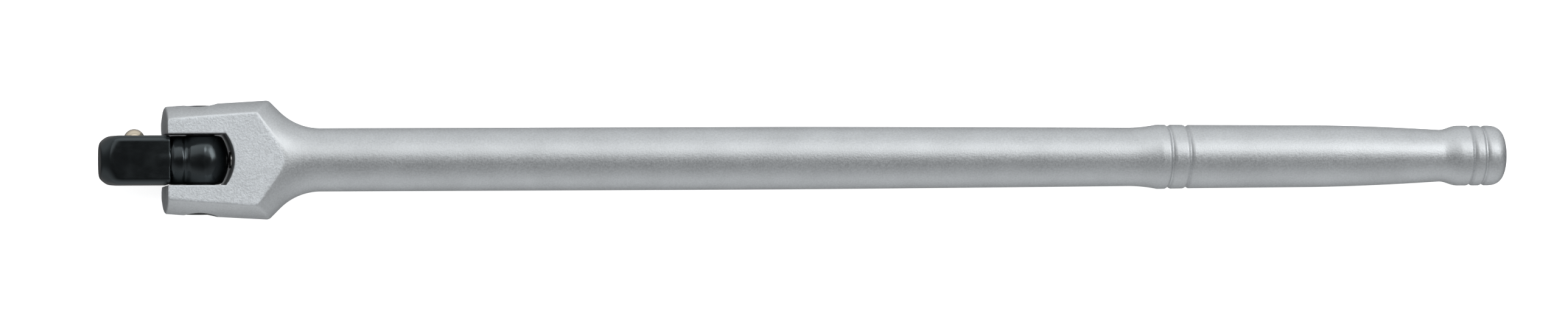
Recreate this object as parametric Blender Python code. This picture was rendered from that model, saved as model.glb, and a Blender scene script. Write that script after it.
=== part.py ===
"""Breaker bar with a swivelling half-inch drive head, modelled piece by piece.

Frame: metres. The origin is the centre of the drive square's end face. +X runs along
the bar to the grip, +Y along the pivot pin towards the detent ball's side, and +Z is
normal to the flats of the yoke, which the bar lies on.
"""

import math

import bmesh
import bpy
from mathutils import Matrix, Vector

MM = 0.001

# Bar: one forging, with the yoke in front, the shank and the turned grip
OVERALL_LENGTH = 375.0 * MM
YOKE_FRONT_X = 16.9 * MM
YOKE_LENGTH = 27.1 * MM
YOKE_FRONT_DIAMETER = 27.9 * MM
YOKE_RIDGE_DIAMETER = 31.0 * MM
YOKE_THICKNESS = 18.4 * MM
YOKE_EDGE_RADIUS = 1.0 * MM
FLAT_LENGTH = 30.3 * MM
SHOULDER_FILLET = 15.0 * MM
DEPTH_FILLET = 35.0 * MM
SHANK_DIAMETER = 16.5 * MM

# Slot in the yoke, with a floor hollowed by an arc
SLOT_CLEARANCE = 0.3 * MM
SLOT_DEPTH = 17.3 * MM
SLOT_FLOOR_RADIUS = 11.0 * MM

# Turned grip, measured back from the bar's end
TAPER_START = 200.0 * MM
NECK_POSITION = 103.5 * MM
NECK_DIAMETER = 15.5 * MM
FLARE_START = 102.0 * MM
COLLAR_POSITION = 94.8 * MM
COLLAR_DIAMETER = 17.1 * MM
COLLAR_GROOVES = (91.8 * MM, 86.9 * MM)
GRIP_START = 84.4 * MM
GRIP_DIAMETER = 16.8 * MM
GRIP_SHOULDER = 55.0 * MM
GRIP_SHOULDER_DIAMETER = 16.5 * MM
WAIST_POSITION = 17.5 * MM
WAIST_DIAMETER = 13.8 * MM
END_COLLAR_POSITION = 12.4 * MM
END_COLLAR_DIAMETER = 16.0 * MM
END_GROOVES = (9.3 * MM, 5.9 * MM)
END_RADIUS = 3.5 * MM
GROOVE_WIDTH = 1.7 * MM
GROOVE_DEPTH = 0.5 * MM

# Pivot pin across the yoke
PIN_FROM_FLOOR = 7.9 * MM
PIN_DIAMETER = 7.5 * MM
PIN_RECESS = 0.3 * MM
PIN_CHAMFER = 0.2 * MM
PIN_FIT = 0.02 * MM
PIN_RUNNING_CLEARANCE = 0.06 * MM
COUNTERSINK_WIDTH = 0.65 * MM
COUNTERSINK_DEPTH = 0.7 * MM

# Swivelling drive head
DRIVE_SQUARE = 12.7 * MM
SQUARE_EDGE_RADIUS = 1.5 * MM
LEAD_DIAMETER = 9.4 * MM
NECK_CLEARANCE = 0.6 * MM
SQUARE_FROM_PIN = 8.3 * MM
SIDE_CLEARANCE = 0.35 * MM
NECK_ROUNDING = 2.4 * MM
NECK_GROOVE_PLACE = 4.1 * MM
NECK_GROOVE_WIDTH = 2.6 * MM
NECK_GROOVE_DEPTH = 0.5 * MM

# Detent ball with its spring, across the drive square
BALL_DIAMETER = 5.5 * MM
BALL_X = 9.1 * MM
BALL_PROTRUSION = 1.8 * MM
BALL_BORE_CLEARANCE = 0.15 * MM
BALL_LIP_CLEARANCE = 0.08 * MM
BALL_BORE_FLOOR = 2.1 * MM
DETENT_WIRE = 0.6 * MM
DETENT_COIL_ROOM = 0.9 * MM
DETENT_TURNS = 5.5

# Friction plunger with its spring, in a bore under the slot's floor
PLUNGER_DIAMETER = 5.0 * MM
PLUNGER_LENGTH = 7.0 * MM
PLUNGER_CLEARANCE = 0.05 * MM
PLUNGER_NOSE_GAP = 0.04 * MM
PLUNGER_CHAMFER = 0.3 * MM
PLUNGER_BORE_DEPTH = 13.0 * MM
FRICTION_WIRE = 0.8 * MM
FRICTION_COIL_ROOM = 0.4 * MM
FRICTION_TURNS = 5.0

# Room that meeting pieces keep, and mesh fineness
SEAT_GAP = 0.05 * MM
OVERSHOOT = 2.0 * MM
BAR_SIDES = 48
BORE_SIDES = 40
COIL_SIDES = 6
COIL_STEPS = 14

# Places worked out from the sizes above
SHANK_RADIUS = SHANK_DIAMETER / 2
YOKE_RIDGE_X = YOKE_FRONT_X + YOKE_LENGTH
SLOT_FLOOR_X = YOKE_FRONT_X + SLOT_DEPTH
FLAT_TIP_X = YOKE_FRONT_X + FLAT_LENGTH
SLOT_WIDTH = DRIVE_SQUARE + 2 * SLOT_CLEARANCE
PIN_X = SLOT_FLOOR_X - PIN_FROM_FLOOR
NECK_RADIUS = PIN_FROM_FLOOR - NECK_CLEARANCE
SQUARE_END_X = PIN_X - SQUARE_FROM_PIN
TONGUE_HALF_WIDTH = SLOT_WIDTH / 2 - SIDE_CLEARANCE
BALL_RADIUS = BALL_DIAMETER / 2
BALL_Y = DRIVE_SQUARE / 2 + BALL_PROTRUSION - BALL_RADIUS
BALL_BORE_RADIUS = BALL_RADIUS + BALL_BORE_CLEARANCE
BALL_BORE_FLOOR_Y = BALL_BORE_FLOOR - DRIVE_SQUARE / 2
PLUNGER_NOSE_X = PIN_X + NECK_RADIUS + PLUNGER_NOSE_GAP
PLUNGER_BORE_RADIUS = PLUNGER_DIAMETER / 2 + PLUNGER_CLEARANCE
PLUNGER_BORE_END_X = SLOT_FLOOR_X + PLUNGER_BORE_DEPTH
DETENT_COIL_DIAMETER = BALL_DIAMETER - DETENT_COIL_ROOM
FRICTION_COIL_DIAMETER = PLUNGER_DIAMETER - FRICTION_COIL_ROOM

ALONG_Y = Matrix.Rotation(math.radians(90.0), 4, "Z")


# Shapes ---------------------------------------------------------------------------


def level_leaving(start, end, power, steps):
    """Profile points from start to end whose curve leaves start level."""
    (x0, r0), (x1, r1) = start, end
    for step in range(1, steps + 1):
        t = step / steps
        yield x0 + (x1 - x0) * t, r0 + (r1 - r0) * t**power


def rounded_step(start, end, steps):
    """Profile points from start to end along half a cosine wave."""
    (x0, r0), (x1, r1) = start, end
    for step in range(1, steps + 1):
        t = step / steps
        yield x0 + (x1 - x0) * t, r0 + (r1 - r0) * (1 - math.cos(math.pi * t)) / 2


def groove(centre, radius, width, depth, steps=6):
    """Profile points of a round-bottomed groove turned into the given radius."""
    for step in range(steps + 1):
        t = 2 * step / steps - 1
        yield centre + t * width / 2, radius - depth * (1 + math.cos(math.pi * t)) / 2


def quarter_round(corner_x, radius, rounding, steps=6):
    """Profile points of a convex edge that ends at corner_x, facing +X."""
    for step in range(steps + 1):
        angle = step / steps * math.pi / 2
        x = corner_x - rounding * (1 - math.sin(angle))
        yield x, radius - rounding * (1 - math.cos(angle))


def flare(distance, radius):
    """Height of a concave fillet at a distance from its start; it ends as a 45 degree line."""
    reach = radius * math.sin(math.radians(45.0))
    if distance <= 0.0:
        return 0.0
    if distance < reach:
        return radius - math.sqrt(radius**2 - distance**2)
    return radius - reach + distance - reach


def ring(x, half_y, half_z, sides):
    """Elliptical ring of points about the X axis."""
    angles = (2 * math.pi * index / sides for index in range(sides))
    return [Vector((x, half_y * math.cos(a), half_z * math.sin(a))) for a in angles]


def loft(rings):
    """Closed body through rings of equal point counts, with flat ends."""
    bm = bmesh.new()
    loops = [[bm.verts.new(point) for point in points] for points in rings]
    count = len(loops[0])
    for near, far in zip(loops, loops[1:]):
        for index in range(count):
            following = (index + 1) % count
            bm.faces.new((near[index], near[following], far[following], far[index]))
    bm.faces.new(loops[0])
    bm.faces.new(loops[-1])
    bmesh.ops.recalc_face_normals(bm, faces=bm.faces)
    return bm


def turned(profile, sides):
    """Body turned about the X axis from (x, radius) points."""
    return loft([ring(x, radius, radius, sides) for x, radius in profile])


def extruded(outline, low_z, high_z):
    """Prism along Z over an outline of (x, y) points."""
    return loft([[Vector((x, y, z)) for x, y in outline] for z in (low_z, high_z)])


def box(low, high):
    """Box between two corners."""
    bm = bmesh.new()
    size = Vector(high) - Vector(low)
    middle = (Vector(high) + Vector(low)) / 2
    matrix = Matrix.Translation(middle) @ Matrix.Diagonal(size.to_4d())
    bmesh.ops.create_cube(bm, size=1.0, matrix=matrix)
    return bm


def coil(low, high, wire, coil_diameter, turns):
    """Compression spring along X between two ends, its wire swept along the helix."""
    radius = (coil_diameter - wire) / 2
    steps = int(turns * COIL_STEPS)
    start = low + wire / 2
    travel = high - low - wire
    rings = []
    for step in range(steps + 1):
        t = step / steps
        angle = 2 * math.pi * turns * t
        outwards = Vector((0.0, math.cos(angle), math.sin(angle)))
        centre = Vector((start + travel * t, 0.0, 0.0)) + outwards * radius
        along_x = Vector((1.0, 0.0, 0.0))
        section = []
        for side in range(COIL_SIDES):
            turn = 2 * math.pi * side / COIL_SIDES
            section.append(centre + wire / 2 * (outwards * math.cos(turn) + along_x * math.sin(turn)))
        rings.append(section)
    return loft(rings)


# Objects --------------------------------------------------------------------------


def clear_scene():
    """Remove what the file starts with."""
    for item in list(bpy.data.objects):
        bpy.data.objects.remove(item, do_unlink=True)


def make_material(name, colour, roughness, metallic):
    """Principled material with one colour."""
    material = bpy.data.materials.new(name)
    material.use_nodes = True
    shader = material.node_tree.nodes["Principled BSDF"]
    shader.inputs["Base Color"].default_value = (*colour, 1.0)
    shader.inputs["Roughness"].default_value = roughness
    shader.inputs["Metallic"].default_value = metallic
    return material


def add_object(name, bm, origin=(0.0, 0.0, 0.0), material=None):
    """Object from a body drawn in the bar's frame, with its own origin."""
    bmesh.ops.translate(bm, verts=bm.verts, vec=-Vector(origin))
    mesh = bpy.data.meshes.new(name)
    bm.to_mesh(mesh)
    bm.free()
    mesh.shade_smooth()
    mesh.set_sharp_from_angle(angle=math.radians(30.0))
    if material:
        mesh.materials.append(material)
    item = bpy.data.objects.new(name, mesh)
    item.location = origin
    bpy.context.collection.objects.link(item)
    return item


def add_along_y(name, bm, x, material=None):
    """Object from a body drawn about X, turned to lie along Y at the given x."""
    bmesh.ops.transform(bm, matrix=Matrix.Translation((x, 0.0, 0.0)) @ ALONG_Y, verts=bm.verts)
    return add_object(name, bm, (x, 0.0, 0.0), material)


def combine(target, tool, operation):
    """Boolean with a tool object, which is then only a guide."""
    modifier = target.modifiers.new(tool.name, "BOOLEAN")
    modifier.operation = operation
    modifier.object = tool
    modifier.solver = "EXACT"
    tool.hide_render = True
    tool.display_type = "WIRE"


def ride_on(child, parent):
    """Parent a piece without moving it."""
    child.parent = parent
    child.location = child.location - parent.location


# Bar ------------------------------------------------------------------------------


def yoke_radius(x):
    """Turned radius of the yoke, a cone that widens to its ridge."""
    growth = (YOKE_RIDGE_DIAMETER - YOKE_FRONT_DIAMETER) / 2 / YOKE_LENGTH
    return YOKE_FRONT_DIAMETER / 2 + growth * (x - YOKE_FRONT_X)


def shoulder_rings():
    """Elliptical rings that narrow from beyond the yoke's outline to the round shank."""
    rise = YOKE_RIDGE_DIAMETER / 2 - SHANK_RADIUS
    reach = SHOULDER_FILLET * math.sin(math.radians(45.0))
    height_end = YOKE_RIDGE_X + rise - (SHOULDER_FILLET - reach) + reach
    flat_rise = YOKE_THICKNESS / 2 - SHANK_RADIUS
    flat_drop = DEPTH_FILLET**2 - (DEPTH_FILLET - flat_rise) ** 2
    depth_end = FLAT_TIP_X + math.sqrt(max(flat_drop, 0.0))
    last = max(height_end, depth_end)
    flank_start = YOKE_RIDGE_X - 6.0 * MM
    stations = [YOKE_FRONT_X - OVERSHOOT, flank_start]
    steps = 14
    stations += [flank_start + (last - flank_start) * step / steps for step in range(1, steps + 1)]
    rings = []
    for x in stations:
        half_y = SHANK_RADIUS + flare(height_end - x, SHOULDER_FILLET)
        half_z = SHANK_RADIUS + flare(depth_end - x, DEPTH_FILLET)
        rings.append(ring(x, half_y, half_z, BAR_SIDES))
    return rings


def grip_profile():
    """Turned outline from the shank to the bar's rounded end."""
    end = OVERALL_LENGTH
    taper = (end - TAPER_START, SHANK_RADIUS)
    neck = (end - NECK_POSITION, NECK_DIAMETER / 2)
    flare_foot = (end - FLARE_START, NECK_DIAMETER / 2)
    collar = (end - COLLAR_POSITION, COLLAR_DIAMETER / 2)
    grip = (end - GRIP_START, GRIP_DIAMETER / 2)
    shoulder = (end - GRIP_SHOULDER, GRIP_SHOULDER_DIAMETER / 2)
    waist = (end - WAIST_POSITION, WAIST_DIAMETER / 2)
    end_collar = (end - END_COLLAR_POSITION, END_COLLAR_DIAMETER / 2)
    points = [taper]
    points += level_leaving(taper, neck, 1.3, 5)
    points.append(flare_foot)
    points += level_leaving(flare_foot, collar, 2.0, 5)
    for place in COLLAR_GROOVES:
        points += groove(end - place, collar[1], GROOVE_WIDTH, GROOVE_DEPTH)
    points.append(grip)
    points.append(shoulder)
    points += level_leaving(shoulder, waist, 1.7, 7)
    points += rounded_step(waist, end_collar, 5)
    for place in END_GROOVES:
        points += groove(end - place, end_collar[1], GROOVE_WIDTH, GROOVE_DEPTH)
    points += quarter_round(end, end_collar[1], END_RADIUS)
    return points


def yoke_envelope():
    """Turned envelope: the ears' rounded front edge and cone, then room for the rest."""
    front = YOKE_FRONT_X
    rounding = YOKE_EDGE_RADIUS
    profile = []
    for step in range(5):
        angle = step / 4 * math.pi / 2
        x = front + rounding * (1 - math.cos(angle))
        profile.append((x, yoke_radius(x) - rounding * (1 - math.sin(angle))))
    past_ridge = YOKE_RIDGE_X + OVERSHOOT
    profile.append((past_ridge, yoke_radius(past_ridge)))
    profile.append((OVERALL_LENGTH + OVERSHOOT, yoke_radius(past_ridge)))
    return turned(profile, BAR_SIDES)


def slot_outline():
    """Outline of the slot, open in front, with its floor as an arc."""
    half = SLOT_WIDTH / 2
    open_x = YOKE_FRONT_X - OVERSHOOT
    outline = [(open_x, -half)]
    steps = 12
    for step in range(steps + 1):
        y = half * (2 * step / steps - 1)
        sag = SLOT_FLOOR_RADIUS - math.sqrt(SLOT_FLOOR_RADIUS**2 - y**2)
        outline.append((SLOT_FLOOR_X - sag, y))
    outline.append((open_x, half))
    return outline


def countersink():
    """Where the countersinks start along the pin, where they stop widening, and how wide."""
    ear = yoke_radius(PIN_X)
    sink = PIN_DIAMETER / 2 + COUNTERSINK_WIDTH
    bottom = math.sqrt(ear**2 - sink**2) - COUNTERSINK_DEPTH
    return bottom, bottom + COUNTERSINK_WIDTH, sink


def pin_bore_profile():
    """Bore across both ears, with a countersink at each end."""
    bottom, top, sink = countersink()
    bore = PIN_DIAMETER / 2
    past_ear = yoke_radius(PIN_X) + OVERSHOOT
    half = [(bottom, bore), (top, sink), (past_ear, sink)]
    half = [(y, radius + PIN_FIT) for y, radius in half]
    return [(-y, radius) for y, radius in reversed(half)] + half


def make_handle_bar(material):
    """Forged bar: yoke, shank and grip in one piece."""
    rings = shoulder_rings()
    rings += [ring(x, radius, radius, BAR_SIDES) for x, radius in grip_profile()]
    bar = add_object("handle_bar", loft(rings), (PIN_X, 0.0, 0.0), material)
    combine(bar, add_object("yoke_turning", yoke_envelope()), "INTERSECT")
    for side in (-1, 1):
        near = side * YOKE_THICKNESS / 2
        far = side * YOKE_RIDGE_DIAMETER
        low = (YOKE_FRONT_X - 2 * OVERSHOOT, -YOKE_RIDGE_DIAMETER, min(near, far))
        high = (YOKE_RIDGE_X + YOKE_LENGTH, YOKE_RIDGE_DIAMETER, max(near, far))
        combine(bar, add_object(f"flat_cut_{side + 1}", box(low, high)), "DIFFERENCE")
    slot = extruded(slot_outline(), -YOKE_THICKNESS, YOKE_THICKNESS)
    combine(bar, add_object("slot_cut", slot), "DIFFERENCE")
    bore = add_along_y("pin_bore", turned(pin_bore_profile(), BORE_SIDES), PIN_X)
    combine(bar, bore, "DIFFERENCE")
    drill = [
        (PIN_X, PLUNGER_BORE_RADIUS),
        (PLUNGER_BORE_END_X, PLUNGER_BORE_RADIUS),
        (PLUNGER_BORE_END_X + PLUNGER_BORE_RADIUS / 2, PLUNGER_BORE_RADIUS / 10),
    ]
    combine(bar, add_object("plunger_bore", turned(drill, BORE_SIDES)), "DIFFERENCE")
    return bar


def make_pivot_pin(material):
    """Pin whose peened ends fill the countersinks and stop short of the ears' outside."""
    bottom, top, sink = countersink()
    half = yoke_radius(PIN_X) - PIN_RECESS
    end = [(bottom, PIN_DIAMETER / 2), (top, sink)]
    end += [(half - PIN_CHAMFER, sink), (half, sink - PIN_CHAMFER)]
    profile = [(-y, r) for y, r in reversed(end)] + end
    return add_along_y("pivot_pin", turned(profile, BORE_SIDES), PIN_X, material)


# Drive head -----------------------------------------------------------------------


def square_rings():
    """Rounded square sections of the drive, as two rings of a prism."""
    half = DRIVE_SQUARE / 2
    inner = half - SQUARE_EDGE_RADIUS
    outline = []
    steps = 5
    for corner in range(4):
        for step in range(steps + 1):
            angle = math.radians(90.0) * (corner + step / steps)
            quadrant = math.radians(90.0) * corner + math.radians(45.0)
            y = math.copysign(inner, math.cos(quadrant)) + SQUARE_EDGE_RADIUS * math.cos(angle)
            z = math.copysign(inner, math.sin(quadrant)) + SQUARE_EDGE_RADIUS * math.sin(angle)
            outline.append((y, z))
    return [[Vector((x, y, z)) for y, z in outline] for x in (0.0, SQUARE_END_X)]


def square_envelope():
    """Turned envelope of the square: the lead cone in front and eased corners behind."""
    half = DRIVE_SQUARE / 2
    corner = half * math.sqrt(2.0)
    lead = LEAD_DIAMETER / 2
    front = -OVERSHOOT
    ease = 1.2 * MM
    return turned(
        [
            (front, lead + front),
            (corner - lead, corner),
            (SQUARE_END_X - ease, corner),
            (SQUARE_END_X + ease, corner - 2 * ease),
        ],
        BAR_SIDES,
    )


def neck_profile():
    """Turned neck with a rounded shoulder behind the square and a groove behind that."""
    buried = SQUARE_END_X - 2 * OVERSHOOT
    half = DRIVE_SQUARE / 2 - SEAT_GAP
    rise_start = SQUARE_END_X + 2 * SEAT_GAP
    points = [(buried, half), (rise_start, half)]
    steps = 6
    for step in range(1, steps + 1):
        angle = step / steps * math.pi / 2
        x = rise_start + NECK_ROUNDING * (1 - math.cos(angle))
        points.append((x, half + (NECK_RADIUS - half) * math.sin(angle)))
    place = SQUARE_END_X + NECK_GROOVE_PLACE
    points += groove(place, NECK_RADIUS, NECK_GROOVE_WIDTH, NECK_GROOVE_DEPTH)
    points.append((PIN_X, NECK_RADIUS))
    return points


def knuckle_profile():
    """Barrel about the pin whose rear follows the slot's hollow floor."""
    points = []
    steps = 12
    for step in range(steps + 1):
        y = TONGUE_HALF_WIDTH * (2 * step / steps - 1)
        sag = SLOT_FLOOR_RADIUS - math.sqrt(SLOT_FLOOR_RADIUS**2 - y**2)
        points.append((y, NECK_RADIUS - sag))
    return points


def ball_bore_profile():
    """Blind bore for the ball, with a lip that keeps the ball in."""
    face = DRIVE_SQUARE / 2
    lip_radius = math.sqrt(BALL_RADIUS**2 - (face - BALL_Y) ** 2) + BALL_LIP_CLEARANCE
    lip_foot = BALL_Y + (face - BALL_Y) / 4
    return [
        (BALL_BORE_FLOOR_Y, BALL_BORE_RADIUS),
        (lip_foot, BALL_BORE_RADIUS),
        (face, lip_radius),
        (face + OVERSHOOT, lip_radius),
    ]


def make_drive_head(material):
    """Square drive, neck and knuckle in one piece."""
    head = add_object("drive_head", loft(square_rings()), (PIN_X, 0.0, 0.0), material)
    combine(head, add_object("square_turning", square_envelope()), "INTERSECT")
    combine(head, add_object("neck", turned(neck_profile(), BAR_SIDES)), "UNION")
    knuckle = add_along_y("knuckle", turned(knuckle_profile(), BAR_SIDES), PIN_X)
    combine(head, knuckle, "UNION")
    for side in (-1, 1):
        near = side * TONGUE_HALF_WIDTH
        far = side * DRIVE_SQUARE
        low = (SQUARE_END_X + SEAT_GAP, min(near, far), -DRIVE_SQUARE)
        high = (SLOT_FLOOR_X + OVERSHOOT, max(near, far), DRIVE_SQUARE)
        combine(head, add_object(f"tongue_cut_{side + 1}", box(low, high)), "DIFFERENCE")
    bore_radius = PIN_DIAMETER / 2 + PIN_RUNNING_CLEARANCE
    reach = SLOT_WIDTH
    bore = turned([(-reach, bore_radius), (reach, bore_radius)], BORE_SIDES)
    combine(head, add_along_y("head_bore", bore, PIN_X), "DIFFERENCE")
    ball_bore = turned(ball_bore_profile(), BORE_SIDES)
    combine(head, add_along_y("ball_bore", ball_bore, BALL_X), "DIFFERENCE")
    return head


# Detent and friction parts ----------------------------------------------------------


def make_detent_ball(material):
    """Steel ball that holds a socket on the square."""
    bm = bmesh.new()
    place = Matrix.Translation((BALL_X, BALL_Y, 0.0))
    bmesh.ops.create_uvsphere(bm, u_segments=24, v_segments=14, radius=BALL_RADIUS, matrix=place)
    return add_object("detent_ball", bm, (BALL_X, BALL_Y, 0.0), material)


def make_detent_spring(material):
    """Spring between the bore's floor and the ball's underside."""
    wire_circle = (DETENT_COIL_DIAMETER - DETENT_WIRE) / 2
    touch = BALL_RADIUS + DETENT_WIRE / 2 + SEAT_GAP
    high = BALL_Y - math.sqrt(touch**2 - wire_circle**2) + DETENT_WIRE / 2
    low = BALL_BORE_FLOOR_Y + SEAT_GAP
    body = coil(low, high, DETENT_WIRE, DETENT_COIL_DIAMETER, DETENT_TURNS)
    return add_along_y("detent_spring", body, BALL_X, material)


def make_friction_plunger(material):
    """Plunger that presses on the knuckle and keeps the head where it is put."""
    radius = PLUNGER_DIAMETER / 2
    back = PLUNGER_NOSE_X + PLUNGER_LENGTH
    profile = [
        (PLUNGER_NOSE_X, radius - PLUNGER_CHAMFER),
        (PLUNGER_NOSE_X + PLUNGER_CHAMFER, radius),
        (back - PLUNGER_CHAMFER, radius),
        (back, radius - PLUNGER_CHAMFER),
    ]
    origin = (PLUNGER_NOSE_X, 0.0, 0.0)
    return add_object("friction_plunger", turned(profile, BORE_SIDES), origin, material)


def make_friction_spring(material):
    """Spring behind the plunger."""
    low = PLUNGER_NOSE_X + PLUNGER_LENGTH + SEAT_GAP
    high = PLUNGER_BORE_END_X - SEAT_GAP
    body = coil(low, high, FRICTION_WIRE, FRICTION_COIL_DIAMETER, FRICTION_TURNS)
    return add_object("friction_spring", body, (low, 0.0, 0.0), material)


def main():
    """Build the breaker bar."""
    clear_scene()
    bar = make_handle_bar(make_material("satin_chrome", (0.44, 0.47, 0.48), 0.38, 1.0))
    pin = make_pivot_pin(make_material("pin_steel", (0.12, 0.12, 0.12), 0.40, 1.0))
    head = make_drive_head(make_material("black_oxide", (0.012, 0.013, 0.014), 0.22, 0.3))
    ball = make_detent_ball(make_material("ball_steel", (0.55, 0.50, 0.42), 0.18, 1.0))
    detent = make_detent_spring(make_material("detent_wire", (0.40, 0.40, 0.39), 0.30, 1.0))
    plunger = make_friction_plunger(make_material("plunger_steel", (0.34, 0.34, 0.33), 0.32, 1.0))
    friction = make_friction_spring(make_material("friction_wire", (0.38, 0.38, 0.37), 0.30, 1.0))
    for child, parent in ((ball, head), (detent, head), (head, bar), (pin, bar)):
        ride_on(child, parent)
    for child in (plunger, friction):
        ride_on(child, bar)


main()
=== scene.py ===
"""Finished look of a flex-head breaker bar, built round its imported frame."""

import math

import bpy
import numpy as np
from bpy.props import FloatProperty, IntProperty, PointerProperty, StringProperty
from mathutils import Matrix, Vector


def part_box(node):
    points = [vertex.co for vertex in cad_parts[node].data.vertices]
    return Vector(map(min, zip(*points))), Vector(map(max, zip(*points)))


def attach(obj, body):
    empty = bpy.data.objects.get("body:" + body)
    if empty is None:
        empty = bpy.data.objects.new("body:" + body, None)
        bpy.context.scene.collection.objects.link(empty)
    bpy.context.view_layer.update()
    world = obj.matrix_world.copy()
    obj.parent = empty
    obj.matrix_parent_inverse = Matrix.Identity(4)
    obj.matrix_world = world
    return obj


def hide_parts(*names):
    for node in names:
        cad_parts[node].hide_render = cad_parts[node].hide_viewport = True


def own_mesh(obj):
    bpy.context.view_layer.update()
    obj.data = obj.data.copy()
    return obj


bl_info = {
    "name": "Breaker Bar",
    "version": (1, 0, 0),
    "blender": (4, 5, 0),
    "location": "View3D > Sidebar > Breaker Bar",
    "description": "Models a flex-head breaker bar with its finishes and a plain studio",
    "category": "Add Mesh",
}

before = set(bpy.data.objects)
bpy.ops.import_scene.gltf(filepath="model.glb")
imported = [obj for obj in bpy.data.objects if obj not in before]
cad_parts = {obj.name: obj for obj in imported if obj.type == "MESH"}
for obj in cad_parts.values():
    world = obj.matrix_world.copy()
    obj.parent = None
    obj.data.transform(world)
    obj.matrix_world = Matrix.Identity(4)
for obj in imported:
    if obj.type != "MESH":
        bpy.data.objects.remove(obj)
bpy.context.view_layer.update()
MM = 0.001

BAR_LOW, BAR_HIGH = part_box("handle_bar")
HEAD_LOW, HEAD_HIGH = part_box("drive_head")
PIN_LOW, PIN_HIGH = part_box("pivot_pin")
BALL_LOW, BALL_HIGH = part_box("detent_ball")
DETENT_LOW, DETENT_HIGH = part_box("detent_spring")
PLUNGER_LOW, PLUNGER_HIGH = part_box("friction_plunger")
FRICTION_LOW, FRICTION_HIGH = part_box("friction_spring")
PIN_X = (PIN_LOW.x + PIN_HIGH.x) / 2
BALL_X = (BALL_LOW.x + BALL_HIGH.x) / 2
BALL_Y = (BALL_LOW.y + BALL_HIGH.y) / 2
SINK_RADIUS = (PIN_HIGH.x - PIN_LOW.x) / 2
SINK_BOTTOM = PIN_HIGH.y - 1.08 * MM  # where each countersink meets the bore
PRESS_ROOM = 0.02 * MM  # room round the pin in the ears
BORE_ROOM = 0.05 * MM  # room round and behind the sliding parts
STEEP = math.radians(45.0)


def length(name, description, default):
    """A size in metres, shown in millimetres' precision."""
    return FloatProperty(
        name=name, description=description, default=default, unit="LENGTH", precision=5
    )


def colour(name, description, default):
    """A colour as an sRGB hex value."""
    return StringProperty(name=name, description=description, default=default)


# Sizes and colours that a user would change ---------------------------------------


class BarSizes(bpy.types.PropertyGroup):
    """Sizes of the forged bar."""

    yoke_front: length("Yoke front", "Diameter of the ears' front edge", 27.9 * MM)
    yoke_length: length("Yoke length", "From the ears' front to the ridge", 27.1 * MM)
    flat_length: length("Flat length", "From the ears' front to the flats' tip", 30.3 * MM)
    shoulder_fillet: length("Shoulder fillet", "Radius seen from above", 15.0 * MM)
    depth_fillet: length("Depth fillet", "Radius seen from the side", 35.0 * MM)
    shank: length("Shank", "Diameter of the shank", 16.5 * MM)
    pin: length("Pin", "Diameter of the pivot pin", 7.5 * MM)
    slot_width: length("Slot width", "Width of the slot between the ears", 13.3 * MM)
    slot_depth: length("Slot depth", "From the ears' front to the slot's floor", 17.3 * MM)
    slot_floor: length("Slot floor", "Radius of the slot's hollow floor", 11.0 * MM)
    taper_start: length("Taper start", "Start of the shank's taper, from the end", 200.0 * MM)
    neck: length("Neck", "Diameter in front of the grip's collar", 15.5 * MM)
    neck_place: length("Neck place", "Place of the neck, from the end", 102.5 * MM)
    collar: length("Collar", "Diameter of the grip's collar", 17.1 * MM)
    collar_place: length("Collar place", "Crest of the collar, from the end", 94.6 * MM)
    grip: length("Grip", "Diameter where the grip starts", 16.8 * MM)
    grip_place: length("Grip place", "Start of the grip, from the end", 84.4 * MM)
    grip_shoulder: length("Grip shoulder", "Diameter where the grip narrows", 16.5 * MM)
    shoulder_place: length("Shoulder place", "Where the grip narrows, from the end", 55.0 * MM)
    waist: length("Waist", "Smallest diameter of the grip", 13.8 * MM)
    waist_place: length("Waist place", "Place of the waist, from the end", 17.5 * MM)
    end_collar: length("End collar", "Diameter of the end collar", 16.0 * MM)
    end_place: length("End collar place", "Start of the end collar, from the end", 12.4 * MM)
    end_round: length("End round", "Rounding of the bar's end", 4.2 * MM)
    groove_1: length("Groove 1", "First groove behind the collar, from the end", 91.8 * MM)
    groove_2: length("Groove 2", "Second groove behind the collar, from the end", 86.9 * MM)
    groove_3: length("Groove 3", "First groove in the end collar, from the end", 9.3 * MM)
    groove_4: length("Groove 4", "Second groove in the end collar, from the end", 5.9 * MM)
    groove_depth: length("Groove depth", "Depth of the turned grooves", 0.5 * MM)
    groove_width: length("Groove width", "Width of the turned grooves", 1.7 * MM)
    edge_round: length("Edge round", "Rounding where faces of the yoke meet", 0.3 * MM)


class HeadSizes(bpy.types.PropertyGroup):
    """Sizes of the drive head."""

    square: length("Square", "Drive square across its flats", 12.7 * MM)
    square_edge: length("Square edge", "Radius of the square's long edges", 1.5 * MM)
    square_end: length("Square end", "Where the square meets the neck", 18.0 * MM)
    lead: length("Lead", "Width of the end face", 8.6 * MM)
    lead_length: length("Lead length", "Length of the rounded lead on the faces", 2.8 * MM)
    neck: length("Neck", "Diameter of the neck", 14.6 * MM)
    neck_rounding: length("Neck rounding", "Length of the neck's rounded shoulder", 2.4 * MM)
    groove_place: length("Groove place", "From the square's end to the neck's groove", 4.1 * MM)
    groove_width: length("Groove width", "Width of the neck's groove", 2.6 * MM)
    groove_depth: length("Groove depth", "Depth of the neck's groove", 0.5 * MM)
    tongue: length("Tongue", "Thickness of the knuckle along the pin", 12.6 * MM)
    edge_round: length("Edge round", "Rounding of the head's edges", 0.7 * MM)
    ball_bore_room: length("Ball bore room", "Room round the ball in its bore", 0.15 * MM)
    pin_room: length("Pin room", "Room round the pin in the knuckle", 0.06 * MM)


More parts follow.
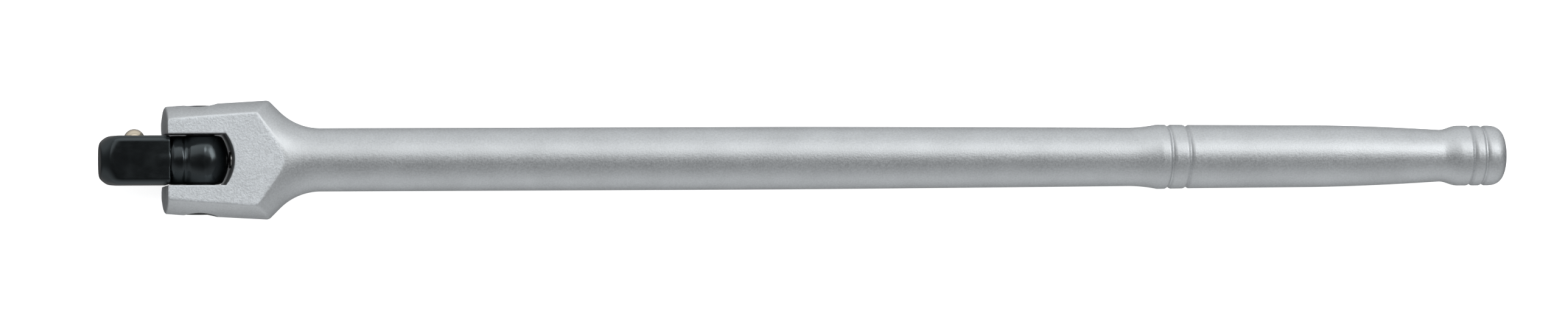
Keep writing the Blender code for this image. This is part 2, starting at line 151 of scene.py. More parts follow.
class FinishColours(bpy.types.PropertyGroup):
    """Colours of the finishes, as sRGB hex values."""

    chrome: colour("Satin chrome", "Chrome over blasted steel", "#BEC1C3")
    # Lighter than the chrome: painted brightness of the up-facing flats under the lights.
    flats: colour("Flats", "Chrome on the milled flats", "#DCE0E3")
    oxide: colour("Black oxide", "Blackened steel", "#3F4446")
    ball: colour("Ball", "Polished bearing steel", "#C2B8A6")
    # Dark tone of the pin's ends, which fill the countersinks: painted shade of those recesses.
    pin: colour("Pin", "Dark pin steel as painted countersink shade", "#4A4B4C")
    wire: colour("Wire", "Spring wire", "#A9A8A4")
    ground: colour("Ground steel", "Ground tool steel", "#B4B3B0")


class StudioSettings(bpy.types.PropertyGroup):
    """Studio and camera."""

    lens: FloatProperty(name="Lens", description="Focal length in mm on 36 mm", default=173.9)
    distance: length("Distance", "From the camera to the bar", 1.992)
    target: length("Target", "Place on the bar that the camera faces", 180.0 * MM)
    drop: length("Drop", "How far below the bar's axis the camera faces", 2.6 * MM)
    yaw: FloatProperty(
        name="Yaw", description="How far the view leans along the bar",
        default=math.radians(10.0), subtype="ANGLE",
    )
    roll: FloatProperty(
        name="Roll", description="How far the flats are turned from the view",
        default=math.radians(1.9), subtype="ANGLE",
    )
    tilt: FloatProperty(
        name="Tilt", description="How far the bar slopes in the view",
        default=math.radians(0.23), subtype="ANGLE",
    )
    sides: IntProperty(name="Sides", description="Points round the bar", default=360)


# Numpy surfaces -------------------------------------------------------------------


def smooth_max(a, b, width):
    """The larger of two fields, blended over a width: b + (a - b) h + width h (1 - h),
    with h rising from 0 to 1 as a passes b."""
    h = np.clip(0.5 + 0.5 * (a - b) / width, 0.0, 1.0)
    return b + (a - b) * h + width * h * (1.0 - h)


def smooth_min(a, b, width):
    """The smaller of two fields, blended over a width."""
    return -smooth_max(-a, -b, width)


def flare(distance, radius):
    """Height of a concave fillet at a distance from its start: a circle's arc up to
    45 degrees, then a straight 45 degree line."""
    reach = radius * math.sin(STEEP)
    inside = np.clip(distance, 0.0, reach)
    arc = radius - np.sqrt(radius**2 - inside**2)
    return arc + np.maximum(distance - reach, 0.0)


def ease(x, start, end):
    """Share of the way from start to end, kept between 0 and 1."""
    return np.clip((x - start) / (end - start), 0.0, 1.0)


def cast(field, origins, directions, reach):
    """Points where rays leave a body: each ray's length is halved in on the place where
    the field turns from negative to positive."""
    near = np.zeros(origins.shape[:-1])
    far = np.full(origins.shape[:-1], reach)
    for _ in range(34):
        middle = (near + far) / 2
        inside = field(*np.moveaxis(origins + directions * middle[..., None], -1, 0)) < 0.0
        near = np.where(inside, middle, near)
        far = np.where(inside, far, middle)
    return origins + directions * near[..., None]


def ray_body(field, stations, tilts, sides, reach):
    """Grid of surface points about the X axis. Each row has an origin on the axis and a
    tilt from +X; its rays point at (cos tilt, sin tilt cos angle, sin tilt sin angle)."""
    angles = 2 * np.pi * np.arange(sides) / sides
    tilt = tilts[:, None]
    directions = np.stack(
        [
            np.cos(tilt) * np.ones_like(angles),
            np.sin(tilt) * np.cos(angles),
            np.sin(tilt) * np.sin(angles),
        ],
        axis=-1,
    )
    origins = np.zeros_like(directions)
    origins[..., 0] = stations[:, None]
    return cast(field, origins, directions, reach)


def closed_tube(rows):
    """Vertices and faces of a closed body from rows of points: neighbouring rows are
    joined by quads, and each end closes on its row's mean point."""
    count, sides = rows.shape[:2]
    index = np.arange(count * sides).reshape(count, sides)
    following = np.roll(index, -1, axis=1)
    quads = np.stack([index[:-1], following[:-1], following[1:], index[1:]], axis=-1)
    ends = np.array([rows[0].mean(axis=0), rows[-1].mean(axis=0)])
    vertices = np.concatenate([rows.reshape(-1, 3), ends])
    first = np.full(sides, count * sides)
    front = np.stack([following[0], index[0], first], axis=-1)
    back = np.stack([index[-1], following[-1], first + 1], axis=-1)
    faces = quads.reshape(-1, 4).tolist() + front.tolist() + back.tolist()
    return vertices, faces


def turned_rows(profile, sides):
    """Rows of points about the X axis through (x, radius) pairs."""
    angles = 2 * np.pi * np.arange(sides) / sides
    x, radius = np.asarray(profile, float).T
    across = radius[:, None] * np.cos(angles)
    up = radius[:, None] * np.sin(angles)
    return np.stack([np.broadcast_to(x[:, None], across.shape), across, up], axis=-1)


def quarter(low, high, steps=8):
    """Points of a rounded corner: a quarter circle from the (x, radius) pair low, where
    it runs outwards, to high, where it runs along X."""
    t = np.linspace(0.0, np.pi / 2, steps)
    x = low[0] + (high[0] - low[0]) * (1 - np.cos(t))
    radius = low[1] + (high[1] - low[1]) * np.sin(t)
    return list(zip(x, radius))


def swept_coil(low, high, wire, outer, turns, closed_turns=1.0, sides=14, steps=40):
    """Compression spring along X: the wire's circle is carried along a helix whose pitch
    is one wire in the closed end turns and wider between them."""
    total = int(turns * steps)
    turn = np.linspace(0.0, turns, total + 1)
    tight = np.minimum(turn, closed_turns) + np.maximum(turn - (turns - closed_turns), 0.0)
    loose = turn - tight
    travel = high - low - wire
    tight_rise = 1.04 * wire * tight
    x = low + wire / 2 + tight_rise + loose * (travel - tight_rise[-1]) / loose[-1]
    angle = 2 * np.pi * turn
    radius = (outer - wire) / 2
    outwards = np.stack([np.zeros_like(angle), np.cos(angle), np.sin(angle)], axis=-1)
    centre = radius * outwards
    centre[:, 0] = x
    section = 2 * np.pi * np.arange(sides) / sides
    along = np.array([1.0, 0.0, 0.0])
    offset = outwards[:, None] * np.cos(section)[:, None] + along * np.sin(section)[:, None]
    return centre[:, None] + wire / 2 * offset


# Objects --------------------------------------------------------------------------


def add_piece(name, rows, turn=None, auto_smooth=35.0):
    """Object from rows of surface points, closed and smooth, with its faces outwards."""
    vertices, faces = closed_tube(rows)
    mesh = bpy.data.meshes.new(name)
    mesh.from_pydata(vertices.tolist(), [], faces)
    if turn:
        mesh.transform(turn)
    mesh.update()
    item = bpy.data.objects.new(name, mesh)
    bpy.context.collection.objects.link(item)
    face_outwards(item)
    mesh.shade_smooth()
    mesh.set_sharp_from_angle(angle=math.radians(auto_smooth))
    return item


def face_outwards(item):
    """Turn a closed mesh inside out if its signed volume is negative."""
    mesh = item.data
    corners = np.empty(len(mesh.vertices) * 3)
    mesh.vertices.foreach_get("co", corners)
    corners = corners.reshape(-1, 3)
    mesh.calc_loop_triangles()
    triangles = np.empty(len(mesh.loop_triangles) * 3, int)
    mesh.loop_triangles.foreach_get("vertices", triangles)
    a, b, c = corners[triangles.reshape(-1, 3)].transpose(1, 0, 2)
    if np.einsum("ij,ij->i", a, np.cross(b, c)).sum() < 0.0:
        mesh.flip_normals()


def carve(item, cutters, sharp=35.0):
    """Cut other bodies out of a piece and throw the cutters away."""
    for cutter in cutters:
        modifier = item.modifiers.new(cutter.name, "BOOLEAN")
        modifier.operation = "DIFFERENCE"
        modifier.solver = "EXACT"
        modifier.object = cutter
    evaluated = item.evaluated_get(bpy.context.evaluated_depsgraph_get())
    mesh = bpy.data.meshes.new_from_object(evaluated)
    item.modifiers.clear()
    item.data = mesh
    mesh.shade_smooth()
    mesh.set_sharp_from_angle(angle=math.radians(sharp))
    for cutter in cutters:
        bpy.data.objects.remove(cutter, do_unlink=True)


def finish_piece(item, node, body, material):
    """Give a piece its finish and its body, in place of a frame node."""
    item.data.materials.clear()
    item.data.materials.append(material)
    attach(item, body)
    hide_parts(node)


def shorten(spring, joint, axis, fixed_end, free_end):
    """Give the spring a mesh of its own."""
    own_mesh(spring)


def along_y(x):
    """Turn a body drawn about X so that it lies along Y at a place on the bar."""
    return Matrix.Translation((x, 0.0, 0.0)) @ Matrix.Rotation(math.radians(90.0), 4, "Z")


# Materials ------------------------------------------------------------------------


def linear(code):
    """Linear RGBA of an sRGB hex colour."""
    channels = [int(code[place : place + 2], 16) / 255 for place in (1, 3, 5)]
    return *(c / 12.92 if c <= 0.04045 else ((c + 0.055) / 1.055) ** 2.4 for c in channels), 1.0


def add_node(tree, kind, links=None, **settings):
    """Add a node: settings are its attributes or its sockets' values, and links its
    inputs' sources."""
    node = tree.nodes.new(kind)
    for key, value in settings.items():
        if hasattr(node, key):
            setattr(node, key, value)
        else:
            node.inputs[key.replace("_", " ")].default_value = value
    for key, source in (links or {}).items():
        tree.links.new(source, node.inputs[key])
    return node


def start_material(name):
    """New material, its tree and its shader."""
    material = bpy.data.materials.new(name)
    material.use_nodes = True
    tree = material.node_tree
    return material, tree, tree.nodes["Principled BSDF"]


def satin_chrome(colours):
    """Chrome plate over bead-blasted steel: a soft even sheen with a fine bright grain,
    rougher on the milled flats, which were blasted last, and with a painted lighter colour
    there for the up-facing flats' brighter look under the lights."""
    material, tree, shader = start_material("Satin chrome on blasted steel")
    place = add_node(tree, "ShaderNodeTexCoord").outputs["Object"]
    flats = add_node(tree, "ShaderNodeAttribute", attribute_name="flat").outputs["Fac"]
    # bead craters are about 0.1 mm; drawn at 0.45 mm so that they show
    grain = add_node(
        tree, "ShaderNodeTexNoise", {"Vector": place}, Scale=1 / (0.45 * MM), Detail=3.0
    )
    cloud = add_node(
        tree, "ShaderNodeTexNoise", {"Vector": place}, Scale=1 / (9.0 * MM), Detail=2.0
    )
    sparkle = add_node(
        tree, "ShaderNodeMapRange", {"Value": grain.outputs["Fac"]},
        From_Min=0.3, From_Max=0.7, To_Min=-1.0, To_Max=1.0,
    )
    rough = add_node(
        tree, "ShaderNodeMapRange", {"Value": flats}, To_Min=0.50, To_Max=0.60
    )
    grained = add_node(
        tree, "ShaderNodeMath", {0: sparkle.outputs[0], 2: rough.outputs[0]},
        operation="MULTIPLY_ADD",
    )
    grained.inputs[1].default_value = 0.05
    speck = add_node(
        tree, "ShaderNodeMath", {0: sparkle.outputs[0], 2: cloud.outputs["Fac"]},
        operation="MULTIPLY_ADD",
    )
    speck.inputs[1].default_value = 0.45
    round_tint, lighter_painted_flat_tint = (
        add_node(tree, "ShaderNodeMix", {"Factor": speck.outputs[0]}, data_type="RGBA")
        for _ in range(2)
    )
    # The flats' tint is lighter than the rounds': painted brightness of the up-facing flats under
    # the lights.
    for mix, code in ((round_tint, colours.chrome), (lighter_painted_flat_tint, colours.flats)):
        base = linear(code)
        mix.inputs["A"].default_value = [0.88 * c for c in base[:3]] + [1.0]
        mix.inputs["B"].default_value = [min(1.0, 1.1 * c) for c in base[:3]] + [1.0]
    tint = add_node(
        tree, "ShaderNodeMix",
        {"Factor": flats, "A": round_tint.outputs["Result"], "B": lighter_painted_flat_tint.outputs["Result"]},
        data_type="RGBA",
    )
    relief = add_node(tree, "ShaderNodeMapRange", {"Value": flats}, To_Min=0.4, To_Max=0.9)
    bump = add_node(
        tree, "ShaderNodeBump",
        {"Height": grain.outputs["Fac"], "Strength": relief.outputs[0]}, Distance=0.1 * MM,
    )
    tree.links.new(tint.outputs["Result"], shader.inputs["Base Color"])
    tree.links.new(grained.outputs[0], shader.inputs["Roughness"])
    tree.links.new(bump.outputs["Normal"], shader.inputs["Normal"])
    shader.inputs["Metallic"].default_value = 1.0
    return material


def black_oxide(colours):
    """Hot black oxide, oiled, on smooth forged steel: nearly black, with clear but dim
    reflections that break up over faint forging marks."""
    material, tree, shader = start_material("Oiled black oxide on forged steel")
    place = add_node(tree, "ShaderNodeTexCoord").outputs["Object"]
    marks = add_node(
        tree, "ShaderNodeTexNoise", {"Vector": place}, Scale=1 / (1.6 * MM), Detail=4.0
    )
    film = add_node(
        tree, "ShaderNodeTexNoise", {"Vector": place}, Scale=1 / (4.0 * MM), Detail=2.0
    )
    rough = add_node(
        tree, "ShaderNodeMapRange", {"Value": film.outputs["Fac"]},
        From_Min=0.3, From_Max=0.7, To_Min=0.16, To_Max=0.26,
    )
    bump = add_node(
        tree, "ShaderNodeBump", {"Height": marks.outputs["Fac"]},
        Strength=0.35, Distance=0.04 * MM,
    )
    shader.inputs["Base Color"].default_value = linear(colours.oxide)
    shader.inputs["Metallic"].default_value = 1.0
    tree.links.new(rough.outputs[0], shader.inputs["Roughness"])
    tree.links.new(bump.outputs["Normal"], shader.inputs["Normal"])
    return material


def plain_steel(name, code, low, high, mark, depth):
    """Bare or blackened steel whose roughness wanders between two values over marks of a
    given size, so that its reflections look drawn or ground, not moulded."""
    material, tree, shader = start_material(name)
    place = add_node(tree, "ShaderNodeTexCoord").outputs["Object"]
    marks = add_node(tree, "ShaderNodeTexNoise", {"Vector": place}, Scale=1 / mark, Detail=3.0)
    rough = add_node(
        tree, "ShaderNodeMapRange", {"Value": marks.outputs["Fac"]},
        From_Min=0.3, From_Max=0.7, To_Min=low, To_Max=high,
    )
    bump = add_node(
        tree, "ShaderNodeBump", {"Height": marks.outputs["Fac"]}, Strength=0.4, Distance=depth
    )
    shader.inputs["Base Color"].default_value = linear(code)
    shader.inputs["Metallic"].default_value = 1.0
    tree.links.new(rough.outputs[0], shader.inputs["Roughness"])
    tree.links.new(bump.outputs["Normal"], shader.inputs["Normal"])
    return material


# Bar ------------------------------------------------------------------------------


def turned_radius(x, sizes):
    """Radius of the turned bar: the shank, a taper to the neck (power 1.3), a flare to
    the collar (a parabola), the grip, a long fall to the waist (power 1.7) and half a
    cosine wave up to the end collar, less the grooves."""
    end = BAR_HIGH.x
    radius = np.full_like(x, sizes.shank / 2)
    taper = ease(x, end - sizes.taper_start, end - sizes.neck_place)
    radius += (sizes.neck - sizes.shank) / 2 * taper**1.3
    swell = ease(x, end - sizes.neck_place, end - sizes.collar_place)
    radius += (sizes.collar - sizes.neck) / 2 * swell**2
    settle = ease(x, end - sizes.collar_place, end - sizes.grip_place)
    radius += (sizes.grip - sizes.collar) / 2 * settle
    lean = ease(x, end - sizes.grip_place, end - sizes.shoulder_place)
    radius += (sizes.grip_shoulder - sizes.grip) / 2 * lean
    fall = ease(x, end - sizes.shoulder_place, end - sizes.waist_place)
    radius += (sizes.waist - sizes.grip_shoulder) / 2 * fall**1.7
    rise = ease(x, end - sizes.waist_place, end - sizes.end_place)
    radius += (sizes.end_collar - sizes.waist) / 2 * (1 - np.cos(np.pi * rise)) / 2
    for place in (sizes.groove_1, sizes.groove_2, sizes.groove_3, sizes.groove_4):
        across = np.clip((x - end + place) / (sizes.groove_width / 2), -1.0, 1.0)
        radius -= sizes.groove_depth * (1 + np.cos(np.pi * across)) / 2
    return radius


def bar_field(sizes):
    """Signed field of the bar: a cone for the ears, elliptical sections for the shoulder,
    the turned bar behind them and two flats, each pair blended over a small width. The
    cone stops a little way past the ridge, and the flats past their tip."""
    front = BAR_LOW.x
    ridge = front + sizes.yoke_length
    half_thick = BAR_HIGH.z
    growth = (BAR_HIGH.y - sizes.yoke_front / 2) / sizes.yoke_length
    rise = BAR_HIGH.y - sizes.shank / 2
    reach = sizes.shoulder_fillet * math.sin(STEEP)
    height_end = ridge + rise - (sizes.shoulder_fillet - reach) + reach
    flat_rise = half_thick - sizes.shank / 2
    depth = sizes.depth_fillet
    depth_end = front + sizes.flat_length + math.sqrt(depth**2 - (depth - flat_rise) ** 2)
    cone_stop, flat_stop = ridge + 6.0 * MM, ridge + 12.0 * MM
    ridge_round, front_round = 0.5 * MM, 0.9 * MM

    def field(x, y, z):
        radius = turned_radius(x, sizes)
        half_y = radius + flare(height_end - x, sizes.shoulder_fillet)
        half_z = radius + flare(depth_end - x, sizes.depth_fillet)
        oval = (np.hypot(y / half_y, z / half_z) - 1.0) * np.minimum(half_y, half_z)
        cone = np.hypot(y, z) - sizes.yoke_front / 2 - growth * (x - front)
        body = smooth_max(oval, np.where(x < cone_stop, cone, -1.0), ridge_round)
        body = smooth_max(body, front - x, front_round)
        body = smooth_max(body, x - BAR_HIGH.x, sizes.end_round)
        flats = np.where(x < flat_stop, np.abs(z) - half_thick, -1.0)
        return smooth_max(body, flats, sizes.edge_round)

    return field


def bar_stations(sizes):
    """Origins and tilts of the bar's rows: fans at both ends, and rows along the bar that
    crowd where its outline turns."""
    front, end = BAR_LOW.x, BAR_HIGH.x
    ridge = front + sizes.yoke_length
    inset = 4.0 * MM
    rim = math.atan2(sizes.yoke_front / 2, -inset)
    fan = np.concatenate(
        [np.linspace(np.pi - 0.02, rim + 0.04, 8), np.linspace(rim + 0.03, rim - 0.03, 9)]
    )
    runs = [
        np.linspace(front + inset, ridge - 4.0 * MM, 44),
        np.linspace(ridge - 3.7 * MM, ridge + 14.0 * MM, 66),
        np.linspace(ridge + 14.5 * MM, end - 106.0 * MM, 22),
        np.linspace(end - 104.0 * MM, end - 83.0 * MM, 62),
        np.linspace(end - 80.0 * MM, end - 20.0 * MM, 18),
        np.linspace(end - 19.0 * MM, end - inset, 44),
    ]
    x = np.concatenate([np.full_like(fan, front + inset)] + runs)
    tilts = np.concatenate([fan, np.full(sum(map(len, runs)), np.pi / 2)])
    last = np.concatenate([np.linspace(1.45, 0.75, 14), np.linspace(0.6, 0.02, 7)])
    x = np.concatenate([x, np.full_like(last, end - inset)])
    return x, np.concatenate([tilts, last])


def slot_cutter(sizes):
    """Body of the slot: its outline, straight sides and an arc for a floor, stands on
    levels of Z and grows by a rounding where the levels pass the flats."""
    front = BAR_LOW.x
    floor_x = front + sizes.slot_depth
    half = sizes.slot_width / 2
    edge = 0.35 * MM
    turn = np.linspace(0.0, np.pi / 2, 6)
    side_z = BAR_HIGH.z - edge * (1 - np.sin(turn))
    side_grow = edge * (1 - np.cos(turn))
    levels = np.concatenate([-side_z[::-1], side_z])
    grows = np.concatenate([side_grow[::-1], side_grow])
    levels = np.concatenate([[-2 * BAR_HIGH.z], levels, [2 * BAR_HIGH.z]])
    grows = np.concatenate([[edge], grows, [edge]])
    y = np.linspace(-1.0, 1.0, 41)
    rows = []
    for z, grow in zip(levels, grows):
        wide = half + grow
        floor_y = y * wide
        floor = floor_x + grow - (sizes.slot_floor - np.sqrt(sizes.slot_floor**2 - floor_y**2))
        mouth_x = front + edge * (1 - np.sin(turn))
        mouth_y = wide + edge * (1 - np.cos(turn))
        open_x = front - 5.0 * MM
        px = np.concatenate([[open_x], mouth_x[::-1], floor, mouth_x, [open_x]])
        py = np.concatenate([[-mouth_y[-1]], -mouth_y[::-1], floor_y, mouth_y, [mouth_y[-1]]])
        rows.append(np.stack([px, py, np.full_like(px, z)], axis=-1))
    return add_piece("slot_cutter", np.array(rows))


def pin_bore_cutter(sizes):
    """Bore across the ears with a countersink at each end."""
    bore = sizes.pin / 2
    rim = SINK_BOTTOM + SINK_RADIUS - bore
    past_ear = SINK_BOTTOM + 4.0 * MM
    half = [(SINK_BOTTOM, bore), (rim, SINK_RADIUS), (past_ear, SINK_RADIUS)]
    half = [(y, radius + PRESS_ROOM) for y, radius in half]
    profile = [(-y, radius) for y, radius in reversed(half)] + half
    return add_piece("pin_bore_cutter", turned_rows(profile, 96), along_y(PIN_X))


def plunger_bore_cutter():
    """Blind bore for the plunger and its spring, with a drill's pointed end."""
    radius = PLUNGER_HIGH.y + BORE_ROOM
    bottom = FRICTION_HIGH.x + BORE_ROOM
    profile = [(PIN_X, radius), (bottom, radius), (bottom + radius / 2, radius / 10)]
    return add_piece("plunger_bore_cutter", turned_rows(profile, 72))


def mark_flats(item):
    """Store how far each point lies on the yoke's flats: 1 on them and 0 elsewhere."""
    mesh = item.data
    corners = np.empty(len(mesh.vertices) * 3)
    mesh.vertices.foreach_get("co", corners)
    corners = corners.reshape(-1, 3)
    on_flat = ease(np.abs(corners[:, 2]), BAR_HIGH.z - 0.12 * MM, BAR_HIGH.z - 0.02 * MM)
    layer = mesh.attributes.new("flat", "FLOAT", "POINT")
    layer.data.foreach_set("value", on_flat.astype(np.float32))


class BREAKER_OT_bar(bpy.types.Operator):
    """Model the forged bar with its yoke, shank and grip"""

    bl_idname = "breaker.bar"
    bl_label = "Bar"

    def execute(self, context):
        scene = context.scene
        sizes = scene.breaker_bar
        stations, tilts = bar_stations(sizes)
        rows = ray_body(bar_field(sizes), stations, tilts, scene.breaker_studio.sides, 40.0 * MM)
        bar = add_piece("bar_forging", rows)
        carve(bar, [slot_cutter(sizes), pin_bore_cutter(sizes), plunger_bore_cutter()])
        mark_flats(bar)
        finish_piece(bar, "handle_bar", "bar", satin_chrome(scene.breaker_finish))
        return {"FINISHED"}


# Drive head -----------------------------------------------------------------------


def head_field(sizes, floor_radius):
    """Signed field of the head: a rounded square with a lead cone, then a round neck with
    one groove. Its end is a barrel about the pin, no taller than the neck and hollowed as
    the slot's floor is, and the tongue's sides are cut flat."""
    half = sizes.square / 2
    neck = sizes.neck / 2
    inner = half - sizes.square_edge
    foot = half - 0.1 * MM
    cone, cone_round, end_round = 4.9 * MM, 1.2 * MM, 0.4 * MM
    rod_start = sizes.square_end - 3.0 * MM
    knuckle_blend, cap_blend, foot_blend = 1.0 * MM, 0.4 * MM, 0.35 * MM
    widest = 5e-5  # square of the greatest half width that the hollow is worked out for

    def field(x, y, z):
        radius = np.hypot(y, z)
        swell = ease(x, 0.0, sizes.lead_length)
        narrow = (half - sizes.lead / 2) * (1.0 - np.sqrt(1.0 - (1.0 - swell) ** 2))
        over_y, over_z = np.abs(y) - inner + narrow, np.abs(z) - inner + narrow
        corner = np.hypot(np.maximum(over_y, 0.0), np.maximum(over_z, 0.0))
        square = corner + np.minimum(np.maximum(over_y, over_z), 0.0) - sizes.square_edge
        lead = (radius - cone - x) * math.sqrt(0.5)
        square = smooth_max(square, lead, cone_round)
        square = smooth_max(square, -x, end_round)
        square = smooth_max(square, x - sizes.square_end, sizes.edge_round)
        swell = ease(x, sizes.square_end, sizes.square_end + sizes.neck_rounding)
        neck_here = foot + (neck - foot) * np.sqrt(1.0 - (1.0 - swell) ** 2)
        across = (x - sizes.square_end - sizes.groove_place) / (sizes.groove_width / 2)
        dip = (1 + np.cos(np.pi * np.clip(across, -1.0, 1.0))) / 2
        neck_here = neck_here - sizes.groove_depth * dip
        rod = np.maximum(radius - neck_here, x - PIN_X)
        rod = np.maximum(rod, rod_start - x)
        hollow = floor_radius - np.sqrt(floor_radius**2 - np.minimum(y**2, widest))
        barrel = np.hypot(x - PIN_X, z) - (neck - hollow)
        knuckle = smooth_min(rod, barrel, knuckle_blend)
        knuckle = smooth_max(knuckle, np.abs(z) - neck, cap_blend)
        tongue = smooth_max(knuckle, np.abs(y) - sizes.tongue / 2, sizes.edge_round)
        return smooth_min(square, tongue, foot_blend)

    return field


def head_stations(sizes):
    """Origins and tilts of the head's rows: a fan at the end face, rows along the square
    and neck, and a fan about the pin."""
    inset = 4.0 * MM
    fan = np.linspace(np.pi - 0.02, np.pi / 2 + 0.03, 52)
    runs = [
        np.linspace(inset, sizes.square_end - 1.5 * MM, 22),
        np.linspace(sizes.square_end - 1.4 * MM, sizes.square_end + 3.0 * MM, 50),
        np.linspace(sizes.square_end + 3.1 * MM, PIN_X, 50),
    ]
    last = np.linspace(np.pi / 2 - 0.03, 0.02, 50)
    count = sum(map(len, runs))
    x = np.concatenate([np.full_like(fan, inset)] + runs + [np.full_like(last, PIN_X)])
    return x, np.concatenate([fan, np.full(count, np.pi / 2), last])


def ball_bore_cutter(sizes):
    """Blind bore for the ball and spring, with the lip that keeps the ball in."""
    face = sizes.square / 2
    ball = (BALL_HIGH.x - BALL_LOW.x) / 2
    bore = ball + sizes.ball_bore_room
    lip = math.sqrt(ball**2 - (face - BALL_Y) ** 2) + 0.08 * MM
    lip_foot = BALL_Y + (face - BALL_Y) / 4
    profile = [
        (DETENT_LOW.y - BORE_ROOM, bore),
        (lip_foot, bore),
        (face - 0.1 * MM, lip),
        (face + 0.2 * MM, lip + 0.3 * MM),
        (face + 2.0 * MM, lip + 0.3 * MM),
    ]
    return add_piece("ball_bore_cutter", turned_rows(profile, 72), along_y(BALL_X))


def head_bore_cutter(sizes, pin):
    """Bore through the knuckle for the pin."""
    bore = pin / 2 + sizes.pin_room
    profile = [(-sizes.tongue, bore), (sizes.tongue, bore)]
    return add_piece("head_bore_cutter", turned_rows(profile, 96), along_y(PIN_X))


class BREAKER_OT_head(bpy.types.Operator):
    """Model the swivelling drive head"""

    bl_idname = "breaker.head"
    bl_label = "Drive head"

    def execute(self, context):
        scene = context.scene
        sizes = scene.breaker_head
        stations, tilts = head_stations(sizes)
        field = head_field(sizes, scene.breaker_bar.slot_floor)
        rows = ray_body(field, stations, tilts, 256, 16.0 * MM)
        head = add_piece("head_forging", rows)
        carve(head, [ball_bore_cutter(sizes), head_bore_cutter(sizes, scene.breaker_bar.pin)])
        finish_piece(head, "drive_head", "head", black_oxide(scene.breaker_finish))
        return {"FINISHED"}


# Pin, ball, plunger and springs ---------------------------------------------------


class BREAKER_OT_pin(bpy.types.Operator):
    """Model the pivot pin, whose dark ends fill the countersinks as painted shade"""

    bl_idname = "breaker.pin"
    bl_label = "Pivot pin"

    def execute(self, context):
        radius = context.scene.breaker_bar.pin / 2
        sink, bottom = SINK_RADIUS, SINK_BOTTOM
        half = PIN_HIGH.y
        dome, flat_middle, rim = 0.1 * MM, 0.4 * MM, 0.6 * MM
        end = [(half, flat_middle), (half - dome, sink - rim)]
        edge_top = (half - dome - 0.03 * MM, sink - 0.3 * MM)
        edge = quarter(edge_top, (half - 0.4 * MM, sink))
        outline = end + edge + [(bottom + sink - radius, sink), (bottom, radius)]
        profile = [(-y, r) for y, r in outline] + [(y, r) for y, r in reversed(outline)]
        pin = add_piece("cross_pin", turned_rows(profile, 96), along_y(PIN_X))
        # The ends spread to the countersinks' rims, and their dark colour is painted shade of the
        # countersinks.
        code = context.scene.breaker_finish.pin
        steel = plain_steel("Dark pin steel as painted countersink shade", code, 0.3, 0.45, 0.8 * MM, 0.01 * MM)
        finish_piece(pin, "pivot_pin", "bar", steel)
        return {"FINISHED"}


class BREAKER_OT_detent(bpy.types.Operator):
    """Model the detent ball and its spring"""

    bl_idname = "breaker.detent"
    bl_label = "Detent"

    def execute(self, context):
        colours = context.scene.breaker_finish
        radius = (BALL_HIGH.x - BALL_LOW.x) / 2
        angle = np.linspace(0.03, np.pi - 0.03, 64)
        profile = np.stack([BALL_Y - radius * np.cos(angle), radius * np.sin(angle)], axis=-1)
        ball = add_piece("steel_ball", turned_rows(profile, 96), along_y(BALL_X))
        steel = plain_steel(
            "Polished bearing steel", colours.ball, 0.1, 0.16, 1.2 * MM, 0.002 * MM
        )
        finish_piece(ball, "detent_ball", "ball", steel)
        wire_size, outer, turns = 0.6 * MM, 4.6 * MM, 5.5
        rows = swept_coil(DETENT_LOW.y, DETENT_HIGH.y, wire_size, outer, turns)
        spring = add_piece("ball_spring", rows, along_y(BALL_X), 60.0)
        wire = plain_steel("Drawn spring wire", colours.wire, 0.25, 0.35, 0.3 * MM, 0.004 * MM)
        finish_piece(spring, "detent_spring", "head", wire)
        ends = (BALL_X, DETENT_LOW.y, 0.0), (BALL_X, DETENT_HIGH.y, 0.0)
        shorten(spring, "ball_press", (0, 1, 0), *ends)
        return {"FINISHED"}


class BREAKER_OT_friction(bpy.types.Operator):
    """Model the friction plunger and its spring"""

    bl_idname = "breaker.friction"
    bl_label = "Friction plunger"

    def execute(self, context):
        colours = context.scene.breaker_finish
        radius = PLUNGER_HIGH.y
        nose, back = PLUNGER_LOW.x, PLUNGER_HIGH.x
        nose_round, back_round, dimple = 0.5 * MM, 0.3 * MM, 0.3 * MM
        front = quarter((nose, radius - nose_round), (nose + nose_round, radius))
        rear = quarter((back, radius - back_round), (back - back_round, radius))
        profile = [(nose, dimple)] + front + rear[::-1] + [(back, dimple)]
        plunger = add_piece("plunger", turned_rows(profile, 72))
        steel = plain_steel(
            "Ground tool steel", colours.ground, 0.22, 0.34, 0.25 * MM, 0.004 * MM
        )
        finish_piece(plunger, "friction_plunger", "plunger", steel)
        wire_size, outer, turns = 0.8 * MM, 4.6 * MM, 5.0
        rows = swept_coil(FRICTION_LOW.x, FRICTION_HIGH.x, wire_size, outer, turns)
        spring = add_piece("plunger_spring", rows, None, 60.0)
        wire = plain_steel("Drawn plunger wire", colours.wire, 0.25, 0.35, 0.3 * MM, 0.004 * MM)
        finish_piece(spring, "friction_spring", "bar", wire)
        ends = (FRICTION_HIGH.x, 0.0, 0.0), (FRICTION_LOW.x, 0.0, 0.0)
        shorten(spring, "plunger_press", (1, 0, 0), *ends)
        return {"FINISHED"}


# Studio ---------------------------------------------------------------------------


def area_light(name, place, target, size, energy):
    """Rectangular soft box at a place, facing a target."""
    light = bpy.data.lights.new(name, "AREA")
    light.shape = "RECTANGLE"
    light.size, light.size_y = size
    light.energy = energy
    item = bpy.data.objects.new(name, light)
    item.location = place
    away = Vector(place) - Vector(target)
    item.rotation_euler = away.to_track_quat("Z", "Y").to_euler()
    bpy.context.collection.objects.link(item)
    return item


